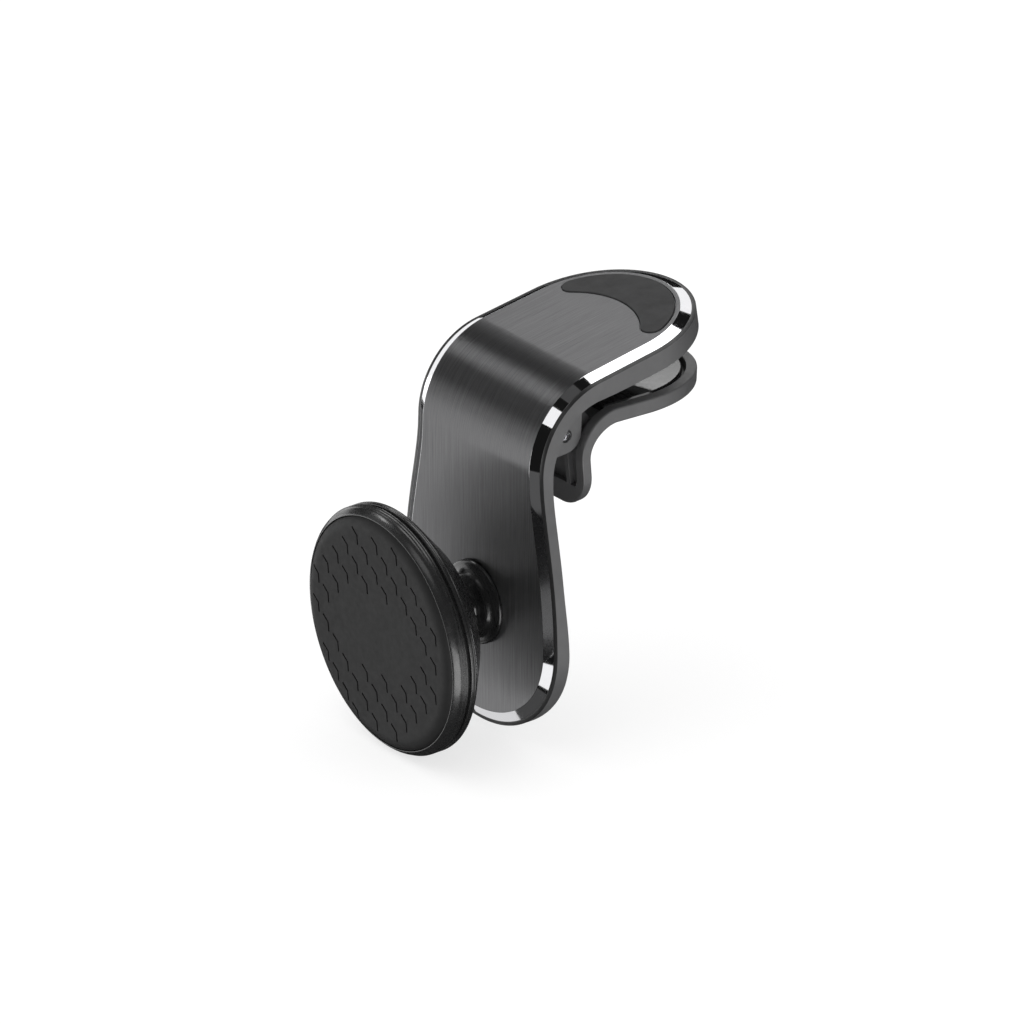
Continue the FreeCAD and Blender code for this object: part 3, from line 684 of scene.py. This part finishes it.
def upper_jaw_pad():
    """The ribbed rubber under the top of the strip."""
    start = STRIP_RUN - TOP_RUN
    bm = strip_sheet(GRIP_MARGIN, cuts=[])
    for run, side in ((GRIP_START, -1), (GRIP_END, 1)):
        cut_at(bm, (0, start + run, 0), (0, side, 0), clear_above=True)
    bmesh.ops.translate(bm, verts=bm.verts[:], vec=(0, 0, -(TOP_T + GRIP_BACK)))
    thicken(bm, GRIP_T)
    soften(bm, 0.2, angle=50, segments=2, where=lambda e: all(v.co.z < -TOP_T - 0.5 for v in e.verts))
    grooves = []
    for i in range(GROOVE_COUNT):
        groove = bmesh.new()
        bmesh.ops.create_cube(groove, size=1)
        bmesh.ops.scale(groove, verts=groove.verts[:], vec=(40, GROOVE_WIDE, GROOVE_WIDE))
        place = (0, start + GROOVE_START + GROOVE_STEP * i, -(TOP_T + GRIP_BACK))
        bmesh.ops.translate(groove, verts=groove.verts[:], vec=place)
        grooves.append(groove)
    bm = carved(bm, *grooves)
    wrap(bm, strip_line)
    return make("upper_jaw_pad_skin", bm, GRIP_RUBBER, "mount_body", "upper_jaw_pad")


# ---- the clip

def lever_bend():
    """The lever's front line: up the thumb tab, round the bend and out along the jaw."""
    tab, jaw = math.tan(math.radians(TAB_DEG)), math.tan(math.radians(JAW_DEG))
    corner_z = JAW_TIP_Z + (JAW_TIP_Y - TAB_Y - TAB_Z * tab) * jaw
    corner_z /= 1 - jaw * tab
    turn = 90 + TAB_DEG + JAW_DEG
    foot_y = TAB_Y + (TAB_Z - TAB_FOOT_Z) * tab
    to_corner = (corner_z - TAB_FOOT_Z) / math.cos(math.radians(TAB_DEG))
    first = to_corner - LEVER_R * math.tan(math.radians(turn / 2))
    place = bent_line(foot_y, TAB_FOOT_Z, -TAB_DEG, first, LEVER_R, turn)
    bend = LEVER_R * math.radians(turn)
    straight = JAW_TIP_Y - place(first + bend, 0)[0]
    total = first + bend + straight / math.cos(math.radians(JAW_DEG))
    return place, first, bend, total


lever_line, LEVER_FIRST, LEVER_BEND, LEVER_RUN = lever_bend()


def lever_sheet(inward, first_run, cuts):
    """The lever's outline laid flat, moved in from its edge, from a run up to the jaw's tip."""
    bm = bmesh.new()
    bmesh.ops.create_circle(bm, cap_ends=True, segments=120, radius=1)
    corner = TAB_CORNER - inward
    tip_start = LEVER_RUN - JAW_END
    for v in bm.verts:
        x, y = v.co.x, v.co.y
        if y < 1e-4:
            side = 0 if abs(x) < 1e-4 else math.copysign(LEVER_HALF - TAB_CORNER, x)
            v.co = (side + x * corner, inward + corner + y * corner, 0)
        else:
            v.co = (x * (LEVER_HALF - inward), tip_start + y * (JAW_END - inward), 0)
    if first_run > 0:
        cut_at(bm, (0, first_run, 0), (0, -1, 0), clear_above=True)
    for run in cuts:
        cut_at(bm, (0, run, 0), (0, 1, 0))
    return bm


def lever_thickness(run):
    return TAB_T + (JAW_T - TAB_T) * rise(run, LEVER_FIRST - 1, LEVER_FIRST + LEVER_BEND * 0.8)


def tray_depth(run):
    """Depth of the lever's recess below its rim."""
    floor = TAB_FLOOR + (LEVER_FLOOR - TAB_FLOOR) * rise(run, LEVER_FIRST, LEVER_FIRST + LEVER_BEND)
    return lever_thickness(run) - floor


def clip_lever():
    """The lower jaw and the thumb tab in one piece, with a recess, two knuckles for the pin and two ribs."""
    ledge = (TAB_LEDGE_Z - TAB_FOOT_Z) / math.cos(math.radians(TAB_DEG))
    bend_cuts = [LEVER_FIRST + LEVER_BEND * i / 36 for i in range(37)]
    cuts = [ledge + 2, ledge + 3.5] + bend_cuts + [LEVER_FIRST + LEVER_BEND + 3]
    bm = lever_sheet(0, 0, cuts)
    thicken(bm, 1)
    for v in bm.verts:
        v.co.z = -lever_thickness(v.co.y) if v.co.z < 0.5 else 0
    soften(bm, 0.45, angle=60, segments=4, where=lambda e: all(v.co.z < -1.2 for v in e.verts))
    soften(bm, 0.3, angle=60, segments=3, where=lambda e: all(v.co.z > -0.01 for v in e.verts))
    tray = lever_sheet(LEVER_WALL, ledge, cuts)
    thicken(tray, 1)
    for v in tray.verts:
        v.co.z = -tray_depth(v.co.y) if v.co.z < 0.5 else 2
    bm = carved(bm, tray)
    soften(bm, 0.15, angle=60, segments=2, where=lambda e: all(v.co.z > -0.01 for v in e.verts)
           and any(f.normal.z > 0.9 for f in e.link_faces))
    wrap(bm, lever_line)
    room = []
    for side in (1, -1):
        inner, outer = side * (EAR_IN - SIDE_GAP), side * (EAR_OUT + SIDE_GAP)
        room.append(rod(EAR_R + 0.35, (inner, PIN.y, PIN.z), (outer, PIN.y, PIN.z)))
    bm = carved(bm, *room)
    lug = arc((PIN.y, PIN.z), KNUCKLE_R, 90, 270, 24)
    web = lug + [(12.3, 47.9), (13.0, 49.5), (15.5, 52.3), (13.5, PIN.z + KNUCKLE_R)]
    knuckle = prism(web, KNUCKLE_IN, EAR_IN - SIDE_GAP)
    soften(knuckle, 0.25, angle=40, segments=2, where=lambda e: all(v.co.y < 12 for v in e.verts))
    knuckle = carved(knuckle, rod(KNUCKLE_HOLE_R, (0, PIN.y, PIN.z), (20, PIN.y, PIN.z)))
    tab = math.tan(math.radians(TAB_DEG))
    rib_foot = TAB_Y + (TAB_Z - TAB_LEDGE_Z) * tab
    rib_z = TAB_LEDGE_Z - 0.2
    rib = prism([(10.9, 48.6), (rib_foot, rib_z), (rib_foot + 1.3, rib_z), (13.0, 49.4)], 9.4, 10.4)
    soften(rib, 0.15, angle=60, segments=2)
    parts = [knuckle, rib]
    whole = joined(bm, *parts, *[mirrored(part) for part in parts])
    return make("clip_lever_skin", whole, FRAME_PLASTIC, "clip", "clip_lever")


def lower_jaw_pad():
    """The glossy insert that lies in the lever's tray."""
    first = LEVER_RUN - (JAW_TIP_Y - 17.6) / math.cos(math.radians(JAW_DEG))
    bm = lever_sheet(LEVER_WALL + 0.6, first, [])
    bmesh.ops.translate(bm, verts=bm.verts[:], vec=(0, 0, LEVER_FLOOR - JAW_T + 0.01))
    thicken(bm, JAW_T - LEVER_FLOOR - 0.21)
    soften(bm, 0.3, angle=50, segments=1, where=lambda e: all(v.co.z > -0.25 for v in e.verts))
    wrap(bm, lever_line)
    return make("lower_jaw_pad_skin", bm, JAW_GLOSS, "clip", "lower_jaw_pad")


def hinge_pin():
    """The pin through both ears, with domed ends."""
    reach = EAR_OUT - PIN_SHORT
    bm = rod(PIN_R, (-reach, PIN.y, PIN.z), (reach, PIN.y, PIN.z))
    soften(bm, 0.62, angle=60, segments=6)
    return make("hinge_pin_skin", bm, PIN_STEEL, "mount_body", "hinge_pin")


def torsion_spring():
    """A wound wire: its first leg rests on the frame, its last pushes the thumb tab."""
    wire_r, coil_r, half = 0.4, 1.7, 3.2
    turns, steps = 7.25, 32
    frame_y, tab_y, tab_z = 5.9, 11.55, 44.2
    bm = bmesh.new()
    bmesh.ops.create_circle(bm, cap_ends=True, segments=16, radius=wire_r)
    bm.transform(Matrix.Translation((-half, PIN.y, PIN.z + coil_r)) @ Matrix.Rotation(math.pi / 2, 4, "X"))
    bm.faces.ensure_lookup_table()
    start = bm.faces[0]
    total = round(turns * steps)
    end = bmesh.ops.spin(bm, geom=[start], cent=(0, PIN.y, PIN.z), axis=(-1, 0, 0), steps=total,
                         dvec=(2 * half / total, 0, 0), angle=turns * 2 * math.pi, use_merge=False,
                         use_duplicate=False)["geom_last"]
    caps = [start, only(bmesh.types.BMFace, end)[0]]
    reach = [Vector((0, -(PIN.y - frame_y), 0)), Vector((0, tab_y - PIN.y - coil_r, tab_z - PIN.z))]
    for cap, vec in zip(caps, reach):
        extrude(bm, [cap], vec)
        if cap.is_valid:
            bmesh.ops.delete(bm, geom=[cap], context="FACES_ONLY")
    recalc(bm)
    piece = make("torsion_spring_skin", bm, SPRING_STEEL, None, "torsion_spring", weighted=False)
    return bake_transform(piece)


# ---- ball joint and head

def ball_stud():
    """Flange, shoulder, neck and ball, turned in one piece."""
    waist = math.degrees(math.acos(NECK_R / BALL_R))
    foot = [(0, 0), (7.1, 0), (7.28, 0.15), (7.3, 0.45), (7.15, 0.68), (6.8, 0.76)]
    cone = [(6.2, 0.92), (5.75, 1.2), (5.45, 1.5), (5.25, 1.75), (5.0, 1.95), (4.6, 2.02)]
    neck = [(3.9, 2.12), (3.4, 2.45), (3.1, 2.9), (NECK_R, 3.4)]
    ball = arc((0, -BALL.y), BALL_R, -waist, 90, 40)
    bm = turned(foot + cone + neck + ball, closed=False)
    return make("ball_stud_skin", bm, STUD_BLACK, "mount_body", "ball_stud", sharp=60)


def stud_screw():
    """The screw from behind, with a cross slot in its head."""
    seat, shank_r, shank_end = -2.9, 1.5, 0.5
    shank = [(0, shank_end), (shank_r, shank_end), (shank_r, seat)]
    head = [(2.8, seat), (2.8, seat - 0.6), (2.65, seat - 0.95), (2.2, seat - 1.2), (1.6, seat - 1.3),
            (0, seat - 1.3)]
    bm = turned(shank + head, steps=64, closed=False)
    slots = []
    for angle in (0, math.pi / 2):
        slot = bmesh.new()
        bmesh.ops.create_cube(slot, size=1)
        bmesh.ops.scale(slot, verts=slot.verts[:], vec=(2.6, 1.6, 0.55))
        slot.transform(Matrix.Translation((0, 4.3, BALL.z)) @ Matrix.Rotation(angle, 4, "Y"))
        slots.append(slot)
    bm = carved(bm, *slots)
    return make("stud_screw_skin", bm, PLATED_STEEL, "mount_body", "stud_screw")


def collar_nut():
    """The nut round the socket's cup, with small grip grooves round its rim."""
    outer, inner, back_h, front_h, grip_count = 8.0, 7.35, 6.9, 11.7, 16
    outside = [(6.6, back_h), (outer - 0.4, back_h), (outer - 0.1, back_h + 0.1), (outer, 7.3)]
    profile = outside + [(outer, front_h), (inner, front_h), (inner, 8.6), (6.75, 8.5)]
    bm = turned(profile)
    grips = []
    for i in range(grip_count):
        a = 2 * math.pi * i / grip_count
        x, z = (outer + 0.15) * math.cos(a), BALL.z + (outer + 0.15) * math.sin(a)
        grips.append(rod(0.35, (x, -8.8, z), (x, -6, z), 16))
    bm = carved(bm, joined(*grips))
    return make("collar_nut_skin", on_ball(bm), NUT_PLASTIC, "socket", "collar_nut")


def rear_cover():
    """The cone at the head's back. Its rim carries one fine groove."""
    cone = [(8.3, 9.42), (8.45, 9.4), (13.5, 9.4), (14.0, 9.46), (14.4, 9.66), (14.8, 9.96), (21.0, 14.97)]
    rim = [(21.25, 15.18), (21.45, 15.38), (21.59, 15.6), (HEAD_R, 15.83), (HEAD_R, 15.97)]
    rim += [(HEAD_R - 0.14, 16.05), (HEAD_R, 16.13), (HEAD_R, 16.38), (HEAD_R - 0.06, 16.5)]
    rim += [(HEAD_R - 0.2, 16.57), (HEAD_R - 0.4, COVER_FRONT)]
    inside = [(PAD_R, COVER_FRONT), (PAD_R, 14.8), (18.8, 14.8), (14.2, 11.0), (11.2, 11.0), (11.2, 14.8),
              (9.55, 14.8), (9.55, 12.75), (8.15, 12.75), (8.15, 9.6)]
    bm = turned(cone + rim + inside)
    return make("rear_cover_skin", on_ball(bm), HEAD_PLASTIC, "magnet_head", "rear_cover", sharp=40)


def trim_band():
    """The recessed band between the cover and the front ring."""
    band_r = HEAD_R - 0.65
    bm = turned([(PAD_R, COVER_FRONT), (band_r, COVER_FRONT), (band_r, BAND_FRONT), (PAD_R, BAND_FRONT)])
    return make("trim_band_skin", on_ball(bm), BAND_PLASTIC, "magnet_head", "trim_band")


def front_ring():
    """Two fine ridges and a rounded cone up to the pad's edge."""
    ridges = [(HEAD_R - 0.4, BAND_FRONT), (HEAD_R - 0.06, 17.26), (HEAD_R, 17.33), (HEAD_R, 17.45),
              (HEAD_R - 0.17, 17.6), (HEAD_R - 0.17, 17.68), (HEAD_R, 17.84), (HEAD_R, 17.98),
              (HEAD_R - 0.18, 18.14), (HEAD_R - 0.2, 18.22)]
    cone = [(HEAD_R - 0.2, 18.32), (HEAD_R - 0.28, 18.6), (HEAD_R - 0.44, 18.88), (HEAD_R - 0.66, 19.15),
            (HEAD_R - 0.9, 19.4), (PAD_R + 0.3, 19.54), (PAD_R + 0.18, 19.61)]
    inner = [(PAD_R + 0.09, 19.61), (PAD_R + 0.04, 19.55), (PAD_R + 0.03, 19.4)]
    inner += [(PAD_R + 0.03, CARRIER_FRONT), (PAD_R, CARRIER_FRONT), (PAD_R, BAND_FRONT)]
    bm = turned(ridges + cone + inner)
    return make("front_ring_skin", on_ball(bm), HEAD_PLASTIC, "magnet_head", "front_ring", sharp=28)


MARK_ORIGIN = (-0.28, 0.05)
MARK_COLUMN = (2.8, 0.11)
MARK_ROW = (0.29, 5.54)
MARK_WIDTH, MARK_DEEP = 0.34, 0.35
BLANK_ACROSS, BLANK_UP, MARK_REACH = 12.2, 7.8, 18.2


def mark_stamp():
    """One groove: a short slope and a short drop, as two sides of a hexagon."""
    w = MARK_WIDTH / 2
    line = [(-1.4, 1.05), (0, 0), (0.15, -1.75)]
    side = [(0.5 * w, w), (w, 0.5 * w), (w, 0)]
    near = [(x - dx, z - dz) for (x, z), (dx, dz) in zip(line, side)]
    far = [(x + dx, z + dz) for (x, z), (dx, dz) in zip(line, side)]
    bm = bmesh.new()
    outline = near + far[::-1]
    face = bm.faces.new([bm.verts.new((x, -PAD_FRONT + MARK_DEEP, z + BALL.z)) for x, z in outline])
    extrude(bm, [face], (0, -2, 0))
    recalc(bm)
    return bm


def mark_places():
    """Centres of the marks: a staggered grid with a blank oval in the middle."""
    places = []
    for column in range(-6, 7):
        for row in range(-4, 5):
            step = row + 0.5 * (column % 2)
            x = MARK_ORIGIN[0] + column * MARK_COLUMN[0] + step * MARK_ROW[0]
            z = MARK_ORIGIN[1] + column * MARK_COLUMN[1] + step * MARK_ROW[1]
            if math.hypot(x, z) < MARK_REACH and math.hypot(x / BLANK_ACROSS, z / BLANK_UP) > 1:
                places.append((x, z))
    return places


def front_pad():
    """The rubber disc that meets the phone, with a rounded edge and the grooved pattern."""
    edge = [(0, 19.38), (0.05, 19.47), (0.3, 19.72), (0.6, 19.93), (0.95, 20.1), (1.35, 20.22), (1.8, 20.28),
            (2.3, PAD_FRONT)]
    disc = [(PAD_R - inward, h) for inward, h in edge]
    bm = turned([(PAD_R, CARRIER_FRONT)] + disc + [(0, PAD_FRONT), (0, CARRIER_FRONT)])
    stamps = []
    for x, z in mark_places():
        stamp = mark_stamp()
        bmesh.ops.translate(stamp, verts=stamp.verts[:], vec=(x, 0, z))
        stamps.append(stamp)
    bm = carved(bm, joined(*stamps))
    return make("front_pad_skin", on_ball(bm), PAD_RUBBER, "magnet_head", "front_pad", sharp=25)


face_plate()
crescent_pad()
rear_frame()
upper_jaw_pad()
ball_stud()
stud_screw()
hinge_pin()
torsion_spring()
clip_lever()
lower_jaw_pad()
collar_nut()
rear_cover()
trim_band()
front_ring()
front_pad()

# CAD nodes that stay as they are, inside the mount, and their finishes
KEPT = {
    "plate_adhesive": BOND_FILM, "lock_washer": PLATED_STEEL, "socket_liner": LINER_ACETAL,
    "socket_cup": NUT_PLASTIC, "shield_plate": PLATED_STEEL, "magnets": NICKEL,
    "magnet_carrier": NUT_PLASTIC, "carrier_screws": PLATED_STEEL, "wave_washer": SPRING_STEEL,
}
for node_name, finish in KEPT.items():
    for node_slot in frame["nodes"][node_name].material_slots:
        node_slot.material = finish


# ---- floor and light

FLOOR_SIZE, FLOOR_GREY, FLOOR_GLOW, FLOOR_BELOW = 6.0, 0.38, 0.7, 0.0002


def floor_white():
    """A plain white that glows a little, so that the floor is as pale as the background."""
    mat, bsdf, _, _ = shader("floor_white")
    bsdf.inputs["Base Color"].default_value = (FLOOR_GREY, FLOOR_GREY, FLOOR_GREY, 1)
    bsdf.inputs["Roughness"].default_value = 1.0
    bsdf.inputs["Specular IOR Level"].default_value = 0.0
    bsdf.inputs["Emission Color"].default_value = (1, 1, 1, 1)
    bsdf.inputs["Emission Strength"].default_value = FLOOR_GLOW
    return mat


def floor():
    bm = bmesh.new()
    bmesh.ops.create_grid(bm, x_segments=1, y_segments=1, size=FLOOR_SIZE / 2)
    bmesh.ops.translate(bm, verts=bm.verts[:], vec=(0, 0, cad_box[0][2] - FLOOR_BELOW))
    mesh = bpy.data.meshes.new("floor")
    bm.to_mesh(mesh)
    bm.free()
    mesh.materials.append(floor_white())
    sheet = bpy.data.objects.new("floor", mesh)
    bpy.context.scene.collection.objects.link(sheet)
    sheet.visible_glossy = False
    sheet.visible_shadow = False


LIGHT_DISTANCE = 3.0


def softbox(name, azimuth, elevation, wide_deg, high_deg, radiance):
    """A panel light seen from the mount in a direction, as wide and high as the angles say.

    It shows in the metal and the gloss only, not in the matte tone of a surface.
    """
    a, e = math.radians(azimuth), math.radians(elevation)
    towards = Vector((math.sin(a) * math.cos(e), -math.cos(a) * math.cos(e), math.sin(e)))
    light = bpy.data.lights.new(name, "AREA")
    light.shape = "RECTANGLE"
    light.size = 2 * LIGHT_DISTANCE * math.tan(math.radians(wide_deg / 2))
    light.size_y = 2 * LIGHT_DISTANCE * math.tan(math.radians(high_deg / 2))
    light.energy = radiance * math.pi * light.size * light.size_y
    lamp = bpy.data.objects.new(name, light)
    lamp.visible_diffuse = False
    lamp.visible_camera = False
    turn = towards.to_track_quat("Z", "Y").to_matrix().to_4x4()
    lamp.matrix_world = Matrix.Translation(TO_ROW @ LIT_POINT + towards * LIGHT_DISTANCE) @ turn
    bpy.context.scene.collection.objects.link(lamp)
    return lamp


# (azimuth, elevation, width, height, brightness); azimuth 0 is the front and 90 the right side
LIT_POINT = Vector((0, 12, 35))
PANELS = {
    "foot_right": (-8, -36, 15, 12, 1.0),
    "foot_middle": (-69, -49, 26, 9, 0.72),
    "front_high": (4, 45, 30, 21, 1.0),
    "crown": (-163, 63, 40, 28, 2.2),
    "rear_right": (-144, 24, 22, 24, 1.0),
    "left_side": (-104, -3, 34, 19, 1.0),
    "front_left": (-53, -15, 74, 38, 1.4),
    "front_rise": (-45, 11, 40, 12, 0.9),
    "front_soft": (-55, 28, 30, 16, 0.32),
    "left_soft": (-98, 44, 22, 20, 0.4),
    "high_left": (-72, 41, 18, 9, 5.0),
    "rear_left": (-126, 32, 14, 20, 2.3),
    "right_far": (118, -22, 60, 40, 1.3),
    "right_back": (146, 36, 16, 14, 1.6),
    "right_near": (52, -26, 44, 36, 3.6),
    "sky_dim": (0, 78, 60, 20, 0.06),
    "floor_dim": (-33, -51, 24, 14, 0.055),
    "right_dim": (-3, -21, 10, 6, 0.08),
    "left_dim": (-103, -26, 20, 10, 0.09),
    "rear_dim": (-127, -12, 8, 8, 0.06),
}
KEY = (-20, 60, 50, 40, 1.2)
SKY_SEEN, SKY_SOFT, SKY_MIRRORED = 1.0, 0.8, 0.008


def light_studio():
    """Panels for the reflections, and one soft key light for the matte surfaces and the floor's shadow."""
    for name, panel in PANELS.items():
        softbox(name, *panel)
    key = softbox("key", *KEY)
    key.visible_diffuse = True
    key.visible_glossy = False


def sky():
    """White to the camera, softly bright to matte surfaces and nearly black in reflections."""
    world = bpy.data.worlds.new("studio")
    bpy.context.scene.world = world
    world.use_nodes = True
    tree = world.node_tree
    tree.nodes.clear()

    def plain(strength):
        node = tree.nodes.new("ShaderNodeBackground")
        node.inputs["Color"].default_value = (1, 1, 1, 1)
        node.inputs["Strength"].default_value = strength
        return node

    def choose(factor, off, on):
        node = tree.nodes.new("ShaderNodeMixShader")
        tree.links.new(factor, node.inputs["Fac"])
        tree.links.new(off.outputs[0], node.inputs[1])
        tree.links.new(on.outputs[0], node.inputs[2])
        return node

    path = tree.nodes.new("ShaderNodeLightPath")
    unseen = choose(path.outputs["Is Glossy Ray"], plain(SKY_SOFT), plain(SKY_MIRRORED))
    whole = choose(path.outputs["Is Camera Ray"], unseen, plain(SKY_SEEN))
    output = tree.nodes.new("ShaderNodeOutputWorld")
    tree.links.new(whole.outputs[0], output.inputs["Surface"])


floor()
light_studio()
sky()
bpy.context.scene.view_settings.view_transform = "Standard"
